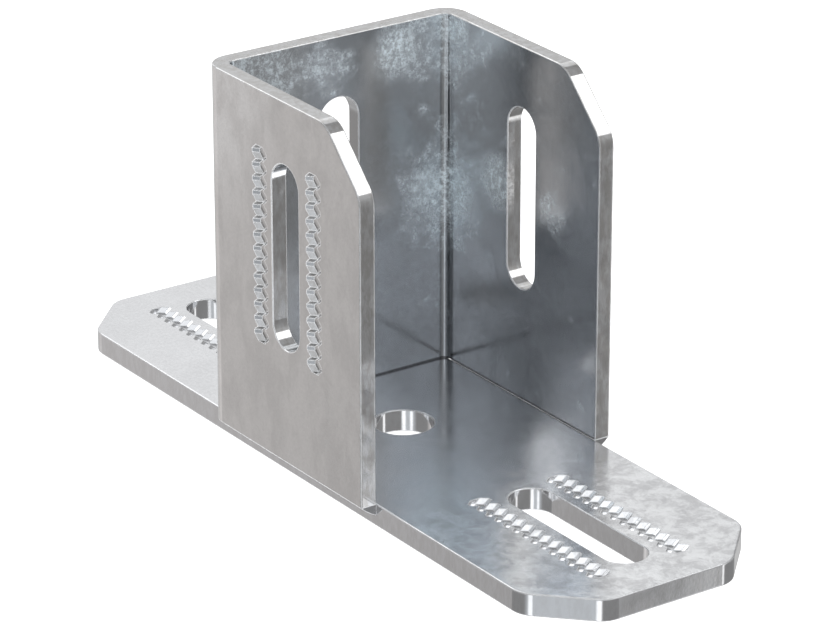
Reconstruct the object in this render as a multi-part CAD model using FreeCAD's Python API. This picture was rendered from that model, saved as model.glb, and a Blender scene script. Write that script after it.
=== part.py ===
# Saddle bracket: a base plate with two long slots, and a folded sheet channel, the saddle, that
# stands across its middle and is fillet-welded to it. Rows of pressed teeth lie beside each slot,
# on the face where the fastener's toothed washer sits.
#
# Millimetres. X runs along the plate, Y across it and Z up. The origin is the middle of the plate's
# underside, on the axis of the centre bore. The saddle opens towards +X.
import FreeCAD, Part
import os

# Base plate
PLATE_LENGTH = 300.0
PLATE_WIDTH = 90.0
PLATE_THICKNESS = 8.0
BORE_DIAMETER = 21.0
PLATE_SLOT_SPACING = 200.0

# Saddle: one sheet folded twice, with a back wall and two side walls. Its inside is as wide as the
# plate, so the side walls stand just outside the plate's long edges.
SHEET_THICKNESS = 6.0
SADDLE_HEIGHT = 129.0
SADDLE_DEPTH = 94.0
SADDLE_BACK_TO_BORE = 44.5
BEND_INNER_RADIUS = 3.0
SIDE_SLOT_TO_BACK = 50.0
WALL_SLOT_HEIGHT = 74.0

# How much nearer to the saddle's open front than its slot a side wall's two rows of teeth lie
SIDE_TEETH_SHIFT = 0.8

# Slots, the same size in the plate and in all three walls
SLOT_LENGTH = 66.0
SLOT_WIDTH = 16.0

# Teeth: a row of overlapping pits along each side of a slot. A pit is an eight-sided recess with a
# flat floor, and its sides slope inwards by the side run on their way down.
TOOTH_COUNT = 14
TOOTH_PITCH = 5.0
TOOTH_ROW_OFFSET = 16.0
TOOTH_DEPTH = 1.7
TOOTH_SIDE_RUN = 2.15
TOOTH_LENGTH = 5.2
TOOTH_WIDTH = 8.6
TOOTH_END_WIDTH = 4.0
TOOTH_TIP_LENGTH = 1.4

# Cut corners of the plate and of the side walls' free ends, the rounding of the outer edges, and
# the small bevel round every slot and bore
CORNER_CUT = 20.0
CORNER_ROUND = 10.0
EDGE_ROUND = 0.5
RIM_BEVEL = 0.25

# Fillet welds
WELD_LEG = 4.0

# How far a cutting tool stands clear of the face that it enters or leaves
TOOL_CLEARANCE = 1.0

# Two points closer than this are the same, and two faces that meet at a flatter turn than this
# (the cosine between their normals) have no edge to deburr
SAME_POINT = 1e-6
SMOOTH_TURN = 0.9

PLATE_TOP = PLATE_THICKNESS
SADDLE_TOP = PLATE_TOP + SADDLE_HEIGHT
SADDLE_BACK = -SADDLE_BACK_TO_BORE
SADDLE_FRONT = SADDLE_BACK + SADDLE_DEPTH
INNER_HALF_WIDTH = PLATE_WIDTH / 2
OUTER_HALF_WIDTH = INNER_HALF_WIDTH + SHEET_THICKNESS
BEND_OUTER_RADIUS = BEND_INNER_RADIUS + SHEET_THICKNESS
WALL_SLOT_LEVEL = PLATE_TOP + WALL_SLOT_HEIGHT

X_AXIS = FreeCAD.Vector(1, 0, 0)
Y_AXIS = FreeCAD.Vector(0, 1, 0)
Z_AXIS = FreeCAD.Vector(0, 0, 1)


def box_between(low, high):
    size = FreeCAD.Vector(*high) - FreeCAD.Vector(*low)
    return Part.makeBox(size.x, size.y, size.z, FreeCAD.Vector(*low))


def new_edges(shape, old):
    """Edges of the shape that the old shape didn't have."""
    old_middles = [edge.BoundBox.Center for edge in old.Edges]

    def is_new(edge):
        return all(edge.BoundBox.Center.distanceToPoint(middle) > SAME_POINT for middle in old_middles)

    return [edge for edge in shape.Edges if is_new(edge)]


def sharp_edges(shape, edges):
    """Those of the edges where two faces of the shape meet at an angle."""
    found = []
    for edge in edges:
        middle = edge.valueAt((edge.FirstParameter + edge.LastParameter) / 2)
        faces = shape.ancestorsOfType(edge, Part.Face)
        normals = [face.normalAt(*face.Surface.parameter(middle)) for face in faces]
        if len(normals) == 2 and abs(normals[0].dot(normals[1])) < SMOOTH_TURN:
            found.append(edge)
    return found


def edges_along(edges, axis, where):
    """The straight edges that run along the axis and whose middle passes the test."""
    found = []
    for edge in edges:
        ends = edge.Vertexes[-1].Point - edge.Vertexes[0].Point
        if ends.Length < SAME_POINT or ends.cross(axis).Length > SAME_POINT * ends.Length:
            continue
        if where(edge.BoundBox.Center):
            found.append(edge)
    return found


def everywhere(point):
    return True


def cut_corners(shape, axis, where):
    """The shape with its square corners cut off and both ends of each cut rounded."""
    cut = shape.makeChamfer(CORNER_CUT, edges_along(shape.Edges, axis, where))
    return cut.makeFillet(CORNER_ROUND, edges_along(new_edges(cut, shape), axis, everywhere))


def slot_tool(depth):
    """A slot along X, cut down from the face at z = 0 and through the given depth."""
    radius = SLOT_WIDTH / 2
    reach = SLOT_LENGTH / 2 - radius
    level = TOOL_CLEARANCE
    right = FreeCAD.Vector(reach + radius, 0, level)
    left = FreeCAD.Vector(-reach - radius, 0, level)
    corners = [FreeCAD.Vector(x, y, level) for x, y in
               ((reach, -radius), (reach, radius), (-reach, radius), (-reach, -radius))]
    outline = Part.Wire([
        Part.Arc(corners[0], right, corners[1]).toShape(),
        Part.makeLine(corners[1], corners[2]),
        Part.Arc(corners[2], left, corners[3]).toShape(),
        Part.makeLine(corners[3], corners[0]),
    ])
    return Part.Face(outline).extrude(-Z_AXIS * (depth + 2 * TOOL_CLEARANCE))


def pit_half(side):
    """What one side of the punch leaves open: its rim, swept inwards on its way down."""
    end, tip = TOOTH_LENGTH / 2, TOOTH_TIP_LENGTH / 2
    shoulder, top = TOOTH_END_WIDTH / 2, TOOTH_WIDTH / 2
    far = -TOOTH_WIDTH
    rim = [(-end, far), (-end, shoulder), (-tip, top), (tip, top), (end, shoulder), (end, far)]
    level = TOOL_CLEARANCE
    lean = TOOTH_SIDE_RUN / TOOTH_DEPTH
    points = [FreeCAD.Vector(x, side * (y + lean * level), level) for x, y in rim]
    face = Part.Face(Part.makePolygon(points + points[:1]))
    drop = TOOTH_DEPTH + level
    return face.extrude(FreeCAD.Vector(0, -side * lean * drop, -drop))


def tooth_row_tool():
    """The row of pits along X, pressed down from the face at z = 0."""
    pit = pit_half(1).common(pit_half(-1))
    first = -(TOOTH_COUNT - 1) * TOOTH_PITCH / 2
    pits = [pit.translated(X_AXIS * (first + number * TOOTH_PITCH)) for number in range(TOOTH_COUNT)]
    return pits[0].multiFuse(pits[1:]).removeSplitter()


def placed(tool, centre, along, outward):
    """The tool with its X turned to run along the slot and its Z to point out of the face."""
    turn = FreeCAD.Rotation(along, outward.cross(along), outward, "XZY")
    return tool.transformed(FreeCAD.Placement(centre, turn).toMatrix())


def plate_slots():
    """Centre, direction along the slot, and outward direction of the face with the teeth."""
    reach = PLATE_SLOT_SPACING / 2
    return [(FreeCAD.Vector(x, 0, PLATE_TOP), X_AXIS, Z_AXIS) for x in (-reach, reach)]


def wall_places(side_shift):
    """The same for the three walls, with the side walls' places shifted towards the open front."""
    side_x = SADDLE_BACK + SIDE_SLOT_TO_BACK + side_shift
    return [
        (FreeCAD.Vector(side_x, -OUTER_HALF_WIDTH, WALL_SLOT_LEVEL), Z_AXIS, -Y_AXIS),
        (FreeCAD.Vector(side_x, OUTER_HALF_WIDTH, WALL_SLOT_LEVEL), Z_AXIS, Y_AXIS),
        (FreeCAD.Vector(SADDLE_BACK, 0, WALL_SLOT_LEVEL), Z_AXIS, -X_AXIS),
    ]


def cut_holes(shape, tools):
    """The shape with its holes cut and their rims bevelled on both faces."""
    cut = shape.cut(tools)
    return cut.makeChamfer(RIM_BEVEL, sharp_edges(cut, new_edges(cut, shape)))


def press_teeth(shape, places):
    row = tooth_row_tool()
    pair = [row.translated(Y_AXIS * side * TOOTH_ROW_OFFSET) for side in (-1, 1)]
    return shape.cut([placed(tool, *place) for place in places for tool in pair])


def rounded_edges(shape, where):
    """The shape with every sharp edge rounded whose box passes the test."""
    chosen = [edge for edge in shape.Edges if where(edge.BoundBox)]
    return shape.makeFillet(EDGE_ROUND, sharp_edges(shape, chosen))


def base_plate():
    low = (-PLATE_LENGTH / 2, -PLATE_WIDTH / 2, 0)
    high = (PLATE_LENGTH / 2, PLATE_WIDTH / 2, PLATE_TOP)
    plate = cut_corners(box_between(low, high), Z_AXIS, everywhere)
    plate = rounded_edges(plate, lambda box: box.ZLength < SAME_POINT)
    slot = slot_tool(PLATE_THICKNESS)
    bore = Part.makeCylinder(BORE_DIAMETER / 2, PLATE_THICKNESS + 2 * TOOL_CLEARANCE,
                             FreeCAD.Vector(0, 0, -TOOL_CLEARANCE))
    plate = cut_holes(plate, [placed(slot, *place) for place in plate_slots()] + [bore])
    return press_teeth(plate, plate_slots())


def saddle():
    """The folded sheet. Its foot stays square where it is welded."""
    blank = box_between((SADDLE_BACK, -OUTER_HALF_WIDTH, PLATE_TOP),
                        (SADDLE_FRONT, OUTER_HALF_WIDTH, SADDLE_TOP))
    inside = box_between((SADDLE_BACK + SHEET_THICKNESS, -INNER_HALF_WIDTH, PLATE_TOP - TOOL_CLEARANCE),
                         (SADDLE_FRONT + TOOL_CLEARANCE, INNER_HALF_WIDTH, SADDLE_TOP + TOOL_CLEARANCE))
    middle = blank.BoundBox.Center

    def at_back(point):
        return point.x < middle.x

    def at_top_front(point):
        return point.x > middle.x and point.z > middle.z

    blank = blank.makeFillet(BEND_OUTER_RADIUS, edges_along(blank.Edges, Z_AXIS, at_back))
    inside = inside.makeFillet(BEND_INNER_RADIUS, edges_along(inside.Edges, Z_AXIS, at_back))
    sheet = cut_corners(blank, Y_AXIS, at_top_front).cut(inside)
    sheet = rounded_edges(sheet, lambda box: box.ZMax > PLATE_TOP + SAME_POINT)
    slot = slot_tool(SHEET_THICKNESS)
    sheet = cut_holes(sheet, [placed(slot, *place) for place in wall_places(0)])
    return press_teeth(sheet, wall_places(SIDE_TEETH_SHIFT))


def weld_bead(corner, towards_sheet, towards_plate, run):
    """A three-sided bead in the corner of two faces, with one leg on each, along the run."""
    points = [corner, corner + towards_sheet, corner + towards_plate, corner]
    return Part.Face(Part.makePolygon(points)).extrude(run)


def side_weld(side):
    """The bead under a side wall's overhang, from its bend to its free end."""
    start = SADDLE_BACK + BEND_OUTER_RADIUS
    corner = FreeCAD.Vector(start, side * INNER_HALF_WIDTH, PLATE_TOP)
    return weld_bead(corner, Y_AXIS * side * SHEET_THICKNESS, -Z_AXIS * WELD_LEG,
                     X_AXIS * (SADDLE_FRONT - start))


def back_weld():
    """The bead along the foot of the back wall's outer face, from bend to bend."""
    reach = OUTER_HALF_WIDTH - BEND_OUTER_RADIUS
    corner = FreeCAD.Vector(SADDLE_BACK, -reach, PLATE_TOP)
    return weld_bead(corner, Z_AXIS * WELD_LEG, -X_AXIS * WELD_LEG, Y_AXIS * 2 * reach)


def main():
    pieces = {
        "base_plate": base_plate(),
        "saddle": saddle(),
        "weld_left": side_weld(-1),
        "weld_right": side_weld(1),
        "weld_back": back_weld(),
    }
    os.makedirs("parts", exist_ok=True)
    for name, shape in pieces.items():
        solid = shape.Solids[0]
        box = solid.BoundBox
        print(name, len(shape.Solids), solid.isValid(), round(solid.Volume),
              [round(value, 2) for value in (box.XMin, box.XMax, box.YMin, box.YMax, box.ZMin, box.ZMax)])
        solid.exportStep("parts/" + name + ".step")


main()
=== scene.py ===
import math

import bpy
from mathutils import Matrix, Vector


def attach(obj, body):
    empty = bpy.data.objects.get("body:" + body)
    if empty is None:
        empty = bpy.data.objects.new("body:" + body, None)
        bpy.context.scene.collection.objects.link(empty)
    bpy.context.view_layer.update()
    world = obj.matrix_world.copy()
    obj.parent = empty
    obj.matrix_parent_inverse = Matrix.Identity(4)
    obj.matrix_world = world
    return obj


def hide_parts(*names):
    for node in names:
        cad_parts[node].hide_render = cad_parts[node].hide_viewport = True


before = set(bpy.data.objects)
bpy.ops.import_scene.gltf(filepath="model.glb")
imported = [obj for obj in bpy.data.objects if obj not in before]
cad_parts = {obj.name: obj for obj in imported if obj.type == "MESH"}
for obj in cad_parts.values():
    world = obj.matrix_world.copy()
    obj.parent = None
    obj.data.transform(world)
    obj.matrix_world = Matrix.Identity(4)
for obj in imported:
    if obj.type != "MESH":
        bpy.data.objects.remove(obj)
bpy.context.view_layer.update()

# Base plate
# A flat bar of steel with cut corners, two punched slots, one bore and four rows of pressed teeth.
# It is dipped in molten zinc: the rolled faces take a cloudy, finely grained coat, and the sheared
# and punched edges a smooth bright one.
PLATE_ZINC = (0.82, 0.83, 0.85)
PLATE_CLOUD_SIZE = 0.022
CLOUD_SPREAD = (0.3, 0.7)
PLATE_GLOSS = (0.13, 0.22)
GRAIN_SIZE = 0.0011
GRAIN_HEIGHT = 0.000006
SPECKLE_SHADE = 0.92

# The sheared and punched edges, with upright streaks
ROLLED_TURN = (0.4, 0.7)
PLATE_EDGE_ZINC = (0.78, 0.785, 0.80)
PLATE_EDGE_STAIN = (0.73, 0.73, 0.74)
PLATE_EDGE_GLOSS = (0.07, 0.14)
STAIN_SIZE = 0.0028
STAIN_STRETCH = (1, 1, 2.5)
STAIN_SPREAD = (0.38, 0.62)

# The blotches at the plate's free end, which begin in front of the saddle's opening
BLOTCHED_FROM = 0.052
BLOTCHED_BEYOND = 0.075
BLOTCH_SIZE = 0.0075
BLOTCH_SHIFT = (0.013, 0.007, 0.0)
BLOTCH_SPREAD = (0.38, 0.60)
BLOTCH_SHARE = 0.8
BLOTCH_HEIGHT = 0.00005
BLOTCH_DARK = (0.60, 0.605, 0.62)
BLOTCH_LIGHT = (0.90, 0.915, 0.93)

# Painted highlights: white lines on the sharp edges, standing for the light that their rounded edges
# would catch. They lie where softening an edge would turn the surface, given as the cosine of the turn.
RIDGE_SOFTNESS = 0.0004
RIDGE_TURN = (0.982, 0.996)
RIDGE_HIGHLIGHT_ZINC = (0.97, 0.98, 1.0)
RIDGE_GLOSS = 0.3
RIDGE_METAL = 0.0

# Places with painted shade on the plate and inside the saddle, each with its reach and full in its core
SHADED_PLACES = (((-0.036, 0.040, 0.010), 0.072), ((0.022, 0.045, 0.125), 0.036),
               ((0.022, 0.045, 0.090), 0.036), ((-0.0385, 0.026, 0.034), 0.055),
               ((-0.0385, 0.016, 0.082), 0.050))
PAINTED_SHADE_SHARE = 0.76
PLACE_CORE = 0.3


def feed(tree, socket, term):
    """Join a socket to another one, or set it to a plain number."""
    if isinstance(term, bpy.types.NodeSocket):
        tree.links.new(term, socket)
    else:
        socket.default_value = term


def calc(tree, operation, *terms):
    """One step of arithmetic on sockets and plain numbers, in a tree of nodes."""
    made = tree.nodes.new("ShaderNodeMath")
    made.operation = operation
    for socket, term in zip(made.inputs, terms):
        feed(tree, socket, term)
    return made.outputs[0]


def fade(tree, value, low, high, at_low=0.0, at_high=1.0):
    """A smooth change from one level to another while the value goes from low to high."""
    made = tree.nodes.new("ShaderNodeMapRange")
    made.interpolation_type = "SMOOTHSTEP"
    tree.links.new(value, made.inputs["Value"])
    for socket, level in zip(("From Min", "From Max", "To Min", "To Max"), (low, high, at_low, at_high)):
        made.inputs[socket].default_value = level
    return made.outputs["Result"]


def patches(tree, size, detail=4.0, rough=0.6, swirl=0.0, stretch=(1, 1, 1), shift=(0, 0, 0)):
    """Irregular patches of about the size, in metres, that are longer along a stretched axis."""
    place = tree.nodes.new("ShaderNodeTexCoord")
    spread = tree.nodes.new("ShaderNodeMapping")
    spread.inputs["Location"].default_value = shift
    spread.inputs["Scale"].default_value = [1 / length for length in stretch]
    tree.links.new(place.outputs["Object"], spread.inputs["Vector"])
    made = tree.nodes.new("ShaderNodeTexNoise")
    made.inputs["Scale"].default_value = 1 / size
    made.inputs["Detail"].default_value = detail
    made.inputs["Roughness"].default_value = rough
    made.inputs["Distortion"].default_value = swirl
    tree.links.new(spread.outputs["Vector"], made.inputs["Vector"])
    return made.outputs["Fac"]


def facing(tree, axis):
    """How squarely the surface faces along the axis, whichever way, from 0 to 1."""
    place = tree.nodes.new("ShaderNodeTexCoord")
    parts = tree.nodes.new("ShaderNodeSeparateXYZ")
    tree.links.new(place.outputs["Normal"], parts.inputs["Vector"])
    return calc(tree, "ABSOLUTE", parts.outputs[axis])


def along(tree, axis):
    """The place on the bracket along the axis, in metres."""
    place = tree.nodes.new("ShaderNodeTexCoord")
    parts = tree.nodes.new("ShaderNodeSeparateXYZ")
    tree.links.new(place.outputs["Object"], parts.inputs["Vector"])
    return parts.outputs[axis]


def scaled(colour, share):
    """The colour with its brightness times the share."""
    return [share * channel for channel in colour]


def blend(tree, share, first, second):
    """The first colour, changing to the second as the share goes to 1."""
    made = tree.nodes.new("ShaderNodeMix")
    made.data_type = "RGBA"
    tree.links.new(share, made.inputs["Factor"])
    for socket, colour in ((made.inputs["A"], first), (made.inputs["B"], second)):
        if isinstance(colour, bpy.types.NodeSocket):
            tree.links.new(colour, socket)
        else:
            socket.default_value = (*colour, 1)
    return made.outputs["Result"]


def mixed(tree, share, first, second):
    """The first number or socket, changing to the second as the share goes to 1."""
    rest = calc(tree, "SUBTRACT", 1.0, share)
    return calc(tree, "ADD", calc(tree, "MULTIPLY", rest, first), calc(tree, "MULTIPLY", share, second))


def near(tree, places):
    """How near the surface is to any of the places, from 0 past its reach to 1 in its core."""
    nearest = None
    for place, reach in places:
        here = tree.nodes.new("ShaderNodeTexCoord")
        gap = tree.nodes.new("ShaderNodeVectorMath")
        gap.operation = "DISTANCE"
        gap.inputs[1].default_value = place
        tree.links.new(here.outputs["Object"], gap.inputs[0])
        share = fade(tree, gap.outputs["Value"], PLACE_CORE * reach, reach, 1.0, 0.0)
        nearest = share if nearest is None else calc(tree, "MAXIMUM", nearest, share)
    return nearest


def zinc(name):
    """A new material, ready to be given its colour, gloss and relief."""
    material = bpy.data.materials.new(name)
    material.use_nodes = True
    return material


def finish(material, colour, gloss, height, metal=1.0, sharp=None):
    """Join the colour, the roughness, the relief's height in metres and the metal to the shader.

    The sharp edges get painted highlights, a whiter colour that is less of a mirror. Where a share called
    sharp is given, they get it only by that share.
    """
    tree = material.node_tree
    shader = tree.nodes["Principled BSDF"]
    softened = tree.nodes.new("ShaderNodeBevel")
    softened.samples = 6
    softened.inputs["Radius"].default_value = RIDGE_SOFTNESS
    surface = tree.nodes.new("ShaderNodeNewGeometry")
    turned = tree.nodes.new("ShaderNodeVectorMath")
    turned.operation = "DOT_PRODUCT"
    tree.links.new(softened.outputs["Normal"], turned.inputs[0])
    tree.links.new(surface.outputs["True Normal"], turned.inputs[1])
    # painted highlight along the sharp edges
    ridge_highlight = fade(tree, turned.outputs["Value"], *RIDGE_TURN, 1.0, 0.0)
    if sharp is not None:
        ridge_highlight = calc(tree, "MULTIPLY", ridge_highlight, sharp)
    tree.links.new(blend(tree, ridge_highlight, colour, RIDGE_HIGHLIGHT_ZINC), shader.inputs["Base Color"])
    tree.links.new(mixed(tree, ridge_highlight, metal, RIDGE_METAL), shader.inputs["Metallic"])
    tree.links.new(mixed(tree, ridge_highlight, gloss, RIDGE_GLOSS), shader.inputs["Roughness"])
    relief = tree.nodes.new("ShaderNodeBump")
    relief.inputs["Strength"].default_value = 1.0
    relief.inputs["Distance"].default_value = 1.0
    tree.links.new(softened.outputs["Normal"], relief.inputs["Normal"])
    tree.links.new(height, relief.inputs["Height"])
    tree.links.new(relief.outputs["Normal"], shader.inputs["Normal"])


def dress(solid, material):
    """Give a solid of the bracket its finish."""
    solid.data.materials.clear()
    solid.data.materials.append(material)


def streaked(tree):
    """Upright streaks on a sheared edge, from 0 where it is stained to 1 where it is clean."""
    streaks = patches(tree, STAIN_SIZE, detail=6.0, rough=0.65, stretch=STAIN_STRETCH)
    return fade(tree, streaks, *STAIN_SPREAD)


plate_zinc = zinc("plate_zinc")
tree = plate_zinc.node_tree
rolled = fade(tree, facing(tree, "Z"), *ROLLED_TURN)
clouds = patches(tree, PLATE_CLOUD_SIZE, detail=8.0, rough=0.62, swirl=0.6)
free_end = fade(tree, along(tree, "X"), BLOTCHED_FROM, BLOTCHED_BEYOND)
blotches = patches(tree, BLOTCH_SIZE, detail=8.0, rough=0.72, swirl=0.3, shift=BLOTCH_SHIFT)
grain = patches(tree, GRAIN_SIZE, detail=3.0)
speckle = fade(tree, grain, *CLOUD_SPREAD)
even = blend(tree, speckle, scaled(PLATE_ZINC, SPECKLE_SHADE), PLATE_ZINC)
blotched = blend(tree, fade(tree, blotches, *BLOTCH_SPREAD), BLOTCH_DARK, BLOTCH_LIGHT)
edge = blend(tree, streaked(tree), PLATE_EDGE_STAIN, PLATE_EDGE_ZINC)
# painted shade on the plate inside the saddle
shaded_plate = blend(tree, near(tree, SHADED_PLACES), even, scaled(PLATE_ZINC, PAINTED_SHADE_SHARE))
face = blend(tree, calc(tree, "MULTIPLY", free_end, BLOTCH_SHARE), shaded_plate, blotched)
colour = blend(tree, rolled, edge, face)
gloss = mixed(tree, rolled, fade(tree, clouds, *CLOUD_SPREAD, *PLATE_EDGE_GLOSS),
              fade(tree, clouds, *CLOUD_SPREAD, *PLATE_GLOSS))
height = calc(tree, "ADD", calc(tree, "MULTIPLY", grain, GRAIN_HEIGHT),
              calc(tree, "MULTIPLY", calc(tree, "MULTIPLY", blotches, BLOTCH_HEIGHT),
                   calc(tree, "MULTIPLY", free_end, rolled)))
finish(plate_zinc, colour, gloss, height)
dress(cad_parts["base_plate"], plate_zinc)

# Saddle
# One sheet of steel punched, pressed and folded twice into a U, then welded across the plate and
# dipped with it. Its rolled faces are glossier than the plate's, with feathery upright smears where
# the zinc drained as the bracket came out of the bath.
OUTER_ZINC = (0.83, 0.82, 0.815)
OUTER_SHADE = 0.90
STREAK_SIZE = 0.009
STREAK_STRETCH = 1.8
STREAK_SPREAD = (0.34, 0.62)
SADDLE_CLOUD_SIZE = 0.016
SADDLE_GLOSS = (0.12, 0.22)
GREY_ZINC = (0.5, 0.5, 0.5)
GREY_SHARE = 0.12
SMEAR_SIZE = 0.0032
SMEAR_STRETCH = 2.6
SMEAR_HEIGHT = 0.00001

# A paler place high on the left wall's outer face
PALE_ZINC = (0.97, 0.975, 0.98)
PALE_SHARE = (0.4, 1.0)
PALE_PLACES = (((-0.044, -0.051, 0.130), 0.055),)

# The inner faces, with painted shade that makes them darker than the outer faces and darker still on the
# back wall, and painted light near the right wall's front
INSIDE_FROM = -0.0415
INSIDE_HALF_WIDTH = 0.048
BACK_TURN = (0.3, 0.7)
INNER_SHADED_ZINC = (0.60, 0.615, 0.635)
BACK_SHADED_ZINC = (0.545, 0.56, 0.58)
PAINTED_LIGHT_ZINC = (0.72, 0.735, 0.76)
PAINTED_LIGHT_PLACES = (((0.040, 0.045, 0.040), 0.040), ((0.042, 0.045, 0.085), 0.032))

# The sheared edges and the back slot's sides, told by how squarely a face turns to an axis
BACK_OF_THE_FOLDS = -0.035
BACK_MIDDLE = 0.009
BACK_SLOT_TOP = 0.13
SQUARE_TURN = (0.85, 0.97)
SLOT_SIDE_TURN = (0.5, 0.7)
LEVEL_TURN = (0.2, 0.4)
SADDLE_EDGE_ZINC = (0.75, 0.755, 0.765)
SADDLE_EDGE_STAIN = (0.62, 0.61, 0.60)
SADDLE_EDGE_GLOSS = (0.06, 0.13)
# painted shade on the walls' level faces, such as their tops
TOP_EDGE_PAINTED_SHADE = (0.30, 0.305, 0.31)
TOP_EDGE_SHADE_SHARE = 0.3
BACK_SLOT_ZINC = (0.42, 0.425, 0.43)

# Painted shade on the sloping sides of the walls' pressed teeth
PRESSED_WINDOW = (0.68, 0.88)
PRESSED_SOFTNESS = 0.05
PRESSED_TURN = (0.35, 0.6)
PRESSED_PAINTED_SHADE = (0.38, 0.39, 0.405)

# Painted shade in the seam between the saddle's inner foot and the plate
SEAM_TOP = 0.0087
SEAM_END = 0.0488
SEAM_PAINTED_SHADE = (0.16, 0.16, 0.165)

# The frost of zinc crystals in the inner corner, partly real crystals and partly painted highlights. It
# lies in clusters drawn towards listed places, is painted brightest in a few places and leaves a faint
# mottling everywhere.
CRYSTAL_AND_HIGHLIGHT_WHITE = (0.84, 0.94, 1.0)
CRYSTAL_METAL = 0.15
CRYSTAL_SIZE = 0.0022
CRYSTAL_HEIGHT = 0.000012
CLUSTER_SIZE = 0.012
CLUSTER_PULL = 0.26
CLUSTER_SPREAD = (0.58, 0.80)
FROST_SPREAD = (0.42, 0.62)
FROST_SHARE = (0.16, 0.7)
HIGHLIGHT_SPREAD = (0.40, 0.62)
HIGHLIGHT_SHARE = (0.26, 1.0)
MOTTLED_SPREAD = (0.38, 0.64)
MOTTLING = 0.1
FROST_HIGHLIGHT_PLACES = (((-0.0385, 0.045, 0.137), 0.040), ((-0.038, 0.045, 0.073), 0.032),
                  ((-0.0385, -0.004, 0.126), 0.018), ((0.023, 0.045, 0.081), 0.012),
                  ((-0.0385, -0.030, 0.122), 0.036))
HIGHLIGHT_PLACES = (((-0.0385, 0.024, 0.127), 0.014), ((-0.034, 0.045, 0.133), 0.012),
                 ((-0.036, 0.045, 0.072), 0.019), ((-0.008, 0.045, 0.084), 0.014),
                 ((-0.0385, 0.036, 0.074), 0.013))


def window(tree, value, low, high, edge):
    """One between low and high, nought outside, with soft edges."""
    return calc(tree, "MULTIPLY", fade(tree, value, low - edge, low + edge),
                fade(tree, value, high + edge, high - edge))


saddle_zinc = zinc("saddle_zinc")
tree = saddle_zinc.node_tree
walls = calc(tree, "GREATER_THAN", along(tree, "X"), BACK_OF_THE_FOLDS)
wall_cut = calc(tree, "MULTIPLY", walls, fade(tree, facing(tree, "Y"), *SQUARE_TURN, 1.0, 0.0))
middle = calc(tree, "LESS_THAN", calc(tree, "ABSOLUTE", along(tree, "Y")), BACK_MIDDLE)
middle = calc(tree, "MULTIPLY", middle, calc(tree, "LESS_THAN", along(tree, "Z"), BACK_SLOT_TOP))
slot_cut = calc(tree, "MULTIPLY", calc(tree, "MULTIPLY", middle, calc(tree, "SUBTRACT", 1.0, walls)),
                fade(tree, facing(tree, "X"), *SLOT_SIDE_TURN, 1.0, 0.0))
cut = calc(tree, "MAXIMUM", wall_cut, slot_cut)
cut = calc(tree, "MAXIMUM", cut, fade(tree, facing(tree, "Z"), *LEVEL_TURN))
clouds = patches(tree, SADDLE_CLOUD_SIZE, detail=8.0, rough=0.62, swirl=0.8)
smears = patches(tree, SMEAR_SIZE, detail=4.0, rough=0.6, swirl=0.2, stretch=(1, 1, SMEAR_STRETCH))
grain = patches(tree, GRAIN_SIZE, detail=3.0)
speckle = fade(tree, grain, *CLOUD_SPREAD)
clusters = patches(tree, CLUSTER_SIZE, detail=5.0, rough=0.65)
crystals = patches(tree, CRYSTAL_SIZE, detail=9.0, rough=0.8)
places = near(tree, FROST_HIGHLIGHT_PLACES)
inside = calc(tree, "MULTIPLY", calc(tree, "GREATER_THAN", along(tree, "X"), INSIDE_FROM),
              calc(tree, "LESS_THAN", calc(tree, "ABSOLUTE", along(tree, "Y")), INSIDE_HALF_WIDTH))
# frost crystals with painted highlights, drawn towards the listed places
frost_highlight_clusters = calc(tree, "ADD", clusters, calc(tree, "MULTIPLY", places, CLUSTER_PULL))
frost_highlight_clusters = fade(tree, frost_highlight_clusters, *CLUSTER_SPREAD)
frost_and_highlight = calc(tree, "MULTIPLY", frost_highlight_clusters, fade(tree, crystals, *FROST_SPREAD, *FROST_SHARE))
# painted highlights at a few places in the inner corner
painted_highlight = calc(tree, "MULTIPLY", near(tree, HIGHLIGHT_PLACES),
              fade(tree, crystals, *HIGHLIGHT_SPREAD, *HIGHLIGHT_SHARE))
frost_and_highlight = calc(tree, "MULTIPLY", inside, calc(tree, "MAXIMUM", frost_and_highlight, painted_highlight))
streaks = patches(tree, STREAK_SIZE, detail=6.0, rough=0.6, swirl=0.3, stretch=(1, 1, STREAK_STRETCH))
outer = blend(tree, fade(tree, streaks, *STREAK_SPREAD), scaled(OUTER_ZINC, OUTER_SHADE), OUTER_ZINC)
pale = calc(tree, "MULTIPLY", near(tree, PALE_PLACES), fade(tree, streaks, *STREAK_SPREAD, *PALE_SHARE))
outer = blend(tree, pale, outer, PALE_ZINC)
# painted shade inside the saddle, deeper on the back wall
inner_shaded = blend(tree, fade(tree, facing(tree, "X"), *BACK_TURN), INNER_SHADED_ZINC, BACK_SHADED_ZINC)
# painted shade in places inside the saddle
inner_shaded = blend(tree, near(tree, SHADED_PLACES), inner_shaded, scaled(BACK_SHADED_ZINC, PAINTED_SHADE_SHARE))
# painted light near the right wall's front
inner_shaded = blend(tree, near(tree, PAINTED_LIGHT_PLACES), inner_shaded, PAINTED_LIGHT_ZINC)
inner_shaded = blend(tree, fade(tree, crystals, *MOTTLED_SPREAD, 0.0, MOTTLING), inner_shaded, CRYSTAL_AND_HIGHLIGHT_WHITE)
ground = blend(tree, inside, outer, inner_shaded)
fine = blend(tree, calc(tree, "MULTIPLY", speckle, GREY_SHARE), ground, GREY_ZINC)
edge = blend(tree, streaked(tree), SADDLE_EDGE_STAIN, SADDLE_EDGE_ZINC)
# painted shade darkening the level faces
top_edge_shade = fade(tree, facing(tree, "Z"), *SQUARE_TURN, 0.0, TOP_EDGE_SHADE_SHARE)
edge = blend(tree, top_edge_shade, edge, TOP_EDGE_PAINTED_SHADE)
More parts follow.
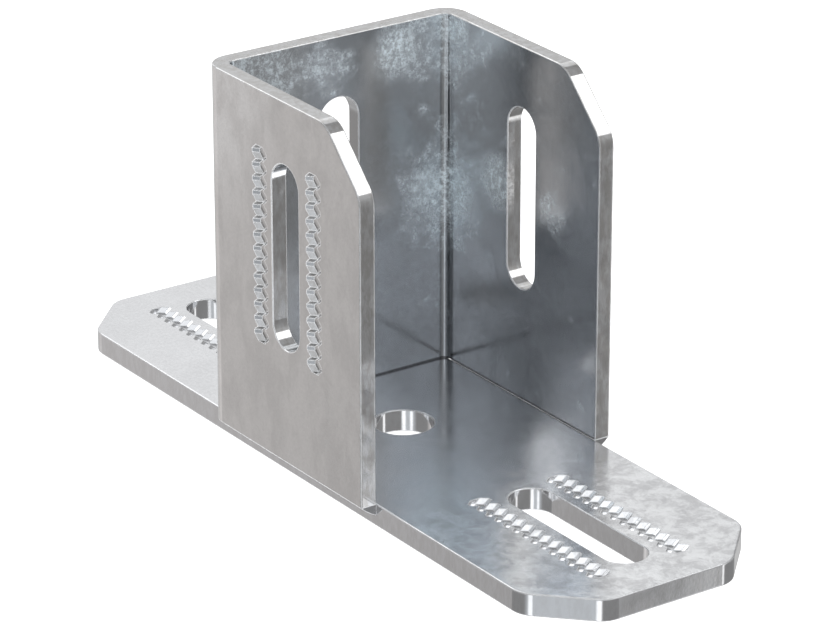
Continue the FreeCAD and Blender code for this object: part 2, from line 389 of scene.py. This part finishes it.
# painted shade on the sides of the teeth that lean along X
shaded_slopes = calc(tree, "MULTIPLY", walls,
              window(tree, facing(tree, "Y"), *PRESSED_WINDOW, PRESSED_SOFTNESS))
shaded_slopes = calc(tree, "MULTIPLY", shaded_slopes, fade(tree, facing(tree, "X"), *PRESSED_TURN))
colour = blend(tree, cut, blend(tree, frost_and_highlight, fine, CRYSTAL_AND_HIGHLIGHT_WHITE), edge)
colour = blend(tree, slot_cut, blend(tree, shaded_slopes, colour, PRESSED_PAINTED_SHADE), BACK_SLOT_ZINC)
# painted shade along the inner foot of the walls, which also keeps the edges' painted highlights off it
seam_shade = calc(tree, "MULTIPLY", inside, calc(tree, "LESS_THAN", along(tree, "Z"), SEAM_TOP))
seam_shade = calc(tree, "MULTIPLY", seam_shade, calc(tree, "LESS_THAN", along(tree, "X"), SEAM_END))
colour = blend(tree, seam_shade, colour, SEAM_PAINTED_SHADE)
metal = mixed(tree, frost_and_highlight, 1.0, CRYSTAL_METAL)
gloss = mixed(tree, cut, fade(tree, clouds, *CLOUD_SPREAD, *SADDLE_GLOSS),
              fade(tree, clouds, *CLOUD_SPREAD, *SADDLE_EDGE_GLOSS))
height = calc(tree, "ADD", calc(tree, "MULTIPLY", grain, GRAIN_HEIGHT),
              calc(tree, "MULTIPLY", smears, SMEAR_HEIGHT))
frost_height = calc(tree, "MULTIPLY", calc(tree, "MULTIPLY", crystals, frost_highlight_clusters), CRYSTAL_HEIGHT)
height = calc(tree, "ADD", height, frost_height)
height = calc(tree, "MULTIPLY", height, calc(tree, "SUBTRACT", 1.0, cut))
finish(saddle_zinc, colour, gloss, height, metal, calc(tree, "SUBTRACT", 1.0, seam_shade))
dress(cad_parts["saddle"], saddle_zinc)

# Weld beads
# Three fillets of weld metal: one in the corner under each side wall's foot, against the plate's
# long edge, and one along the foot of the back wall. Each was laid in one pass, whose ripples show
# through the zinc.
SIDE_BEAD_LEGS = (0.006, 0.004)
BACK_BEAD_LEGS = (0.004, 0.004)
BEAD_CROWN = 0.0004
BEAD_FACE_FROM = 0.95
SECTION_CUTS = 3
BEAD_STEPS = 280
RIPPLE_PITCH = 0.0014
RIPPLE_HEIGHT = 0.00022
WANDER_SCALE = 240.0
WANDER = 1.5
SHARE_EACH_WAY = 0.7
WELD_ZINC = (0.74, 0.75, 0.77)
BEAD_SHADE = 0.9
BEAD_CLOUD_SIZE = 0.004
BEAD_CLOUD_SPREAD = (0.35, 0.65)
BEAD_GLOSS = (0.22, 0.34)
# painted shade on the beads' end faces, which face along X
BEAD_END_TURN = (0.8, 0.95)
BEAD_END_PAINTED_SHADE = (0.32, 0.32, 0.325)
BEAD_SIZES = ("Length", "Upper Leg", "Lower Leg", "Crown", "Ripple Pitch", "Ripple Height", "Seed")

# Where the beads run: along the plate's long edges under the side walls, and along the back wall
PLATE_TOP = 0.008
LONG_EDGE = 0.045
SIDE_START, SIDE_END = -0.0355, 0.0495
BACK_FACE = -0.0445
BACK_REACH = 0.042


def bead_tree():
    """Nodes that lay a rippled bead along +X, from a corner whose legs run along +Y and -Z."""
    tree = bpy.data.node_groups.new("weld_bead", "GeometryNodeTree")
    inputs = {}
    kinds = dict.fromkeys(BEAD_SIZES, "NodeSocketFloat")
    kinds["Finish"] = "NodeSocketMaterial"
    for name, kind in kinds.items():
        inputs[name] = tree.interface.new_socket(name, in_out="INPUT", socket_type=kind).identifier
    tree.interface.new_socket("Bead", in_out="OUTPUT", socket_type="NodeSocketGeometry")
    given = tree.nodes.new("NodeGroupInput").outputs
    link = tree.links.new

    def point(x, y):
        """A place at a height of nought."""
        made = tree.nodes.new("ShaderNodeCombineXYZ")
        for socket, term in zip(made.inputs, (x, y)):
            feed(tree, socket, term)
        return made.outputs[0]

    # The two legs and the sloping face between their ends, swept along the bead
    upper_end = calc(tree, "MULTIPLY", given["Upper Leg"], -1.0)
    section = tree.nodes.new("GeometryNodeCurvePrimitiveQuadrilateral")
    section.mode = "POINTS"
    link(point(0.0, given["Lower Leg"]), section.inputs["Point 2"])
    link(point(calc(tree, "MULTIPLY", upper_end, 0.5), calc(tree, "MULTIPLY", given["Lower Leg"], 0.5)),
         section.inputs["Point 3"])
    link(point(upper_end, 0.0), section.inputs["Point 4"])
    section.inputs["Point 1"].default_value = (0, 0, 0)
    finer = tree.nodes.new("GeometryNodeSubdivideCurve")
    finer.inputs["Cuts"].default_value = SECTION_CUTS
    link(section.outputs[0], finer.inputs[0])
    path = tree.nodes.new("GeometryNodeCurvePrimitiveLine")
    path.inputs["Start"].default_value = (0, 0, 0)
    link(point(given["Length"], 0.0), path.inputs["End"])
    steps = tree.nodes.new("GeometryNodeResampleCurve")
    link(path.outputs[0], steps.inputs["Curve"])
    steps.inputs["Count"].default_value = BEAD_STEPS
    sweep = tree.nodes.new("GeometryNodeCurveToMesh")
    link(steps.outputs[0], sweep.inputs["Curve"])
    link(finer.outputs[0], sweep.inputs["Profile Curve"])
    sweep.inputs["Fill Caps"].default_value = True

    # The sloping face bulges in the middle, and crescents run across it
    place = tree.nodes.new("GeometryNodeInputPosition")
    spot = tree.nodes.new("ShaderNodeSeparateXYZ")
    link(place.outputs[0], spot.inputs[0])
    across = calc(tree, "DIVIDE", spot.outputs["Y"], given["Upper Leg"])
    down = calc(tree, "DIVIDE", calc(tree, "MULTIPLY", spot.outputs["Z"], -1.0), given["Lower Leg"])
    bare = calc(tree, "GREATER_THAN", calc(tree, "ADD", across, down), BEAD_FACE_FROM)
    arch = calc(tree, "MULTIPLY", bare, calc(tree, "MULTIPLY", 4.0, calc(tree, "MULTIPLY", across, down)))
    wander = tree.nodes.new("ShaderNodeTexNoise")
    wander.noise_dimensions = "1D"
    wander.inputs["Scale"].default_value = WANDER_SCALE
    link(calc(tree, "ADD", spot.outputs["X"], given["Seed"]), wander.inputs["W"])
    crescents = calc(tree, "ADD", calc(tree, "DIVIDE", spot.outputs["X"], given["Ripple Pitch"]),
                     calc(tree, "ADD", arch, calc(tree, "MULTIPLY", wander.outputs["Fac"], WANDER)))
    wave = calc(tree, "ABSOLUTE", calc(tree, "SINE", calc(tree, "MULTIPLY", crescents, math.pi)))
    dip = calc(tree, "MULTIPLY", calc(tree, "SUBTRACT", wave, 1.0), given["Ripple Height"])
    swell = calc(tree, "MULTIPLY", calc(tree, "ADD", dip, given["Crown"]), SHARE_EACH_WAY)
    proud = calc(tree, "MULTIPLY", arch, swell)
    push = tree.nodes.new("ShaderNodeCombineXYZ")
    link(proud, push.inputs["Y"])
    link(calc(tree, "MULTIPLY", proud, -1.0), push.inputs["Z"])
    rippled = tree.nodes.new("GeometryNodeSetPosition")
    link(sweep.outputs[0], rippled.inputs["Geometry"])
    link(push.outputs[0], rippled.inputs["Offset"])

    whole = tree.nodes.new("GeometryNodeRealizeInstances")
    link(rippled.outputs[0], whole.inputs[0])
    coated = tree.nodes.new("GeometryNodeSetMaterial")
    link(whole.outputs[0], coated.inputs["Geometry"])
    link(given["Finish"], coated.inputs["Material"])
    link(coated.outputs[0], tree.nodes.new("NodeGroupOutput").inputs[0])
    return tree, inputs


weld_zinc = zinc("weld_zinc")
tree = weld_zinc.node_tree
clouds = patches(tree, BEAD_CLOUD_SIZE, detail=6.0, rough=0.62)
colour = blend(tree, fade(tree, clouds, *BEAD_CLOUD_SPREAD), scaled(WELD_ZINC, BEAD_SHADE), WELD_ZINC)
# painted shade on the bead's ends
colour = blend(tree, fade(tree, facing(tree, "X"), *BEAD_END_TURN), colour, BEAD_END_PAINTED_SHADE)
gloss = fade(tree, clouds, *CLOUD_SPREAD, *BEAD_GLOSS)
height = calc(tree, "MULTIPLY", patches(tree, GRAIN_SIZE, detail=3.0), 3 * GRAIN_HEIGHT)
finish(weld_zinc, colour, gloss, height)

bead_nodes, bead_inputs = bead_tree()
half_turn = Matrix.Rotation(math.pi, 4, "Z")
behind = Matrix(((0, -1, 0, 0), (-1, 0, 0, 0), (0, 0, -1, 0), (0, 0, 0, 1)))
side_length = SIDE_END - SIDE_START
for side, corner, turn, length, legs, seed in (
        ("left", (SIDE_END, -LONG_EDGE, PLATE_TOP), half_turn, side_length, SIDE_BEAD_LEGS, 1.0),
        ("right", (SIDE_START, LONG_EDGE, PLATE_TOP), Matrix(), side_length, SIDE_BEAD_LEGS, 2.0),
        ("back", (BACK_FACE, BACK_REACH, PLATE_TOP), behind, 2 * BACK_REACH, BACK_BEAD_LEGS, 3.0)):
    bead = bpy.data.objects.new("bead_" + side, bpy.data.meshes.new("bead_" + side))
    bpy.context.scene.collection.objects.link(bead)
    laid = bead.modifiers.new("laid", "NODES")
    laid.node_group = bead_nodes
    sizes = (length, *legs, BEAD_CROWN, RIPPLE_PITCH, RIPPLE_HEIGHT, seed)
    for name, value in zip(BEAD_SIZES, sizes):
        laid[bead_inputs[name]] = value
    laid[bead_inputs["Finish"]] = weld_zinc
    mesh = bpy.data.meshes.new_from_object(bead.evaluated_get(bpy.context.evaluated_depsgraph_get()))
    bead.modifiers.remove(laid)
    mesh.transform(Matrix.Translation(corner) @ turn)
    bead.data = mesh
    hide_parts("weld_" + side)
    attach(bead, "root")

# Floor
# A plain white sheet of paper that runs out of sight under the bracket. The zinc reflects the room
# and not the paper.
FLOOR_REACH = 12.0
PAPER_WHITE = (0.8, 0.8, 0.8, 1)
PAPER_ROUGHNESS = 0.9
PAPER_GLOW = 0.95
corners = [(x * FLOOR_REACH, y * FLOOR_REACH, 0) for x, y in ((-1, -1), (1, -1), (1, 1), (-1, 1))]
floor_mesh = bpy.data.meshes.new("floor")
floor_mesh.from_pydata(corners, [], [range(len(corners))])
floor = bpy.data.objects.new("floor", floor_mesh)
bpy.context.scene.collection.objects.link(floor)
paper = bpy.data.materials.new("paper")
paper.use_nodes = True
sheet = paper.node_tree.nodes["Principled BSDF"]
sheet.inputs["Base Color"].default_value = PAPER_WHITE
sheet.inputs["Roughness"].default_value = PAPER_ROUGHNESS
sheet.inputs["Emission Color"].default_value = (1, 1, 1, 1)
sheet.inputs["Emission Strength"].default_value = PAPER_GLOW
floor_mesh.materials.append(paper)
floor.visible_glossy = False

# Room
# A dim grey studio with two large soft boxes over the bracket, one towards each end, and three
# upright strips. Round soft glows stand where each kind of face mirrors them. The zinc mirrors the
# ones below the horizon too, because the paper doesn't show in it.
HORIZON = (-0.35, 0.35)
DIM_LEVELS = (0.27, 0.39)
LOWEST_RISE = 0.05
OVERHEAD = (0.1, 0.3)
BOX_EDGE = 0.08
STRIP_EDGE = 0.015
COOL = (0.95, 1.0, 1.06)
COOLER = (0.92, 0.99, 1.06)
FAINTLY_COOL = (0.97, 1.0, 1.04)
WARM = (1.04, 0.98, 0.96)
world = bpy.data.worlds.new("studio")
bpy.context.scene.world = world
world.use_nodes = True
room = world.node_tree
direction = room.nodes.new("ShaderNodeTexCoord").outputs["Generated"]
heading = room.nodes.new("ShaderNodeSeparateXYZ")
room.links.new(direction, heading.inputs["Vector"])
east, north, up = heading.outputs
raised = calc(room, "MAXIMUM", up, LOWEST_RISE)
east_slope = calc(room, "DIVIDE", east, raised)
north_slope = calc(room, "DIVIDE", north, raised)
level_reach = calc(room, "SQRT", calc(room, "ADD", calc(room, "MULTIPLY", east, east),
                                      calc(room, "MULTIPLY", north, north)))
lights = []


def light_up(share, level, colour=(1, 1, 1)):
    """Add a light that fills its share of each direction."""
    tinted = room.nodes.new("ShaderNodeVectorMath")
    tinted.operation = "SCALE"
    tinted.inputs[0].default_value = scaled(colour, level)
    room.links.new(share, tinted.inputs["Scale"])
    lights.append(tinted.outputs["Vector"])


def soft_box(east_range, north_range, level):
    """A flat panel overhead, placed by how far it reaches sideways for each metre up."""
    above = fade(room, up, *OVERHEAD)
    flat = calc(room, "MULTIPLY", window(room, east_slope, *east_range, BOX_EDGE),
                window(room, north_slope, *north_range, BOX_EDGE))
    light_up(calc(room, "MULTIPLY", above, flat), level)


def strip(bearing, half_width, low, high, level):
    """An upright light at a bearing in degrees from +X towards +Y, between two heights."""
    there = Vector((math.cos(math.radians(bearing)), math.sin(math.radians(bearing))))
    lined_up = calc(room, "DIVIDE", calc(room, "ADD", calc(room, "MULTIPLY", east, there.x),
                                         calc(room, "MULTIPLY", north, there.y)), level_reach)
    lit = fade(room, lined_up, math.cos(math.radians(1.5 * half_width)),
               math.cos(math.radians(0.5 * half_width)))
    light_up(calc(room, "MULTIPLY", lit, window(room, up, low, high, STRIP_EDGE)), level)


def glow(towards, inner_shaded, outer, level, colour=(1, 1, 1)):
    """A round soft light, full inside one angle in degrees and gone past the other."""
    spot = room.nodes.new("ShaderNodeVectorMath")
    spot.operation = "DOT_PRODUCT"
    spot.inputs[1].default_value = Vector(towards).normalized()
    room.links.new(direction, spot.inputs[0])
    lit = fade(room, spot.outputs["Value"], math.cos(math.radians(outer)), math.cos(math.radians(inner_shaded)))
    light_up(lit, level, colour)


light_up(fade(room, up, *HORIZON, *DIM_LEVELS), level=1.0)
soft_box((0.42, 1.45), (-0.75, 1.15), level=0.60)
soft_box((-1.60, -0.45), (-0.85, 1.15), level=0.58)
glow((0.52, 0.53, 0.67), inner_shaded=10, outer=18, level=1.5)
glow((-0.757, -0.388, 0.527), inner_shaded=6, outer=16, level=1.4)
glow((-0.90, 0.32, 0.30), inner_shaded=8, outer=34, level=0.45)
glow((0.45, -0.60, 0.66), inner_shaded=10, outer=40, level=0.35, colour=COOL)
glow((0.68, -0.53, 0.52), inner_shaded=4, outer=11, level=1.70, colour=FAINTLY_COOL)
glow((0.737, 0.552, 0.39), inner_shaded=5, outer=14, level=0.08)
glow((-0.249, -0.379, -0.894), inner_shaded=6, outer=26, level=0.22)
glow((-0.757, -0.254, -0.602), inner_shaded=4, outer=17, level=0.36)
glow((-0.919, -0.335, -0.208), inner_shaded=5, outer=28, level=0.34, colour=WARM)
glow((0.506, -0.723, -0.469), inner_shaded=5, outer=30, level=0.36, colour=COOLER)
glow((-0.757, 0.38, -0.52), inner_shaded=16, outer=34, level=0.36)
strip(-65, half_width=5, low=-0.95, high=-0.20, level=0.70)
strip(-35.5, half_width=6.5, low=-0.95, high=-0.385, level=1.0)
strip(45, half_width=4.5, low=-0.95, high=-0.10, level=1.0)

total = lights[0]
for light in lights[1:]:
    added = room.nodes.new("ShaderNodeVectorMath")
    room.links.new(total, added.inputs[0])
    room.links.new(light, added.inputs[1])
    total = added.outputs["Vector"]
lit_room = room.nodes["Background"]
room.links.new(total, lit_room.inputs["Color"])
backdrop = room.nodes.new("ShaderNodeBackground")
backdrop.inputs["Color"].default_value = (1, 1, 1, 1)
seen = room.nodes.new("ShaderNodeLightPath")
either = room.nodes.new("ShaderNodeMixShader")
room.links.new(seen.outputs["Is Camera Ray"], either.inputs[0])
room.links.new(lit_room.outputs[0], either.inputs[1])
room.links.new(backdrop.outputs[0], either.inputs[2])
room.links.new(either.outputs[0], room.nodes["World Output"].inputs["Surface"])

# Camera
# The photograph's point of view: from the right front, a little above the saddle, and from far
# enough away that the bracket is seen almost without perspective.
LENS = 191.93
FILM_WIDTH = 36.0
NEAREST, FARTHEST = 0.1, 100.0
CAMERA_PLACE = (1.15626, -0.79616, 0.63488)
CAMERA_LOOK = (-0.757764, 0.526291, -0.385762)

camera = bpy.data.objects.new("camera", bpy.data.cameras.new("camera"))
bpy.context.scene.collection.objects.link(camera)
bpy.context.scene.camera = camera
camera.data.sensor_width = FILM_WIDTH
camera.data.lens = LENS
camera.data.clip_start = NEAREST
camera.data.clip_end = FARTHEST
turn = Vector(CAMERA_LOOK).to_track_quat("-Z", "Y").to_matrix().to_4x4()
camera.matrix_world = Matrix.Translation(CAMERA_PLACE) @ turn
bpy.context.scene.view_settings.view_transform = "Standard"
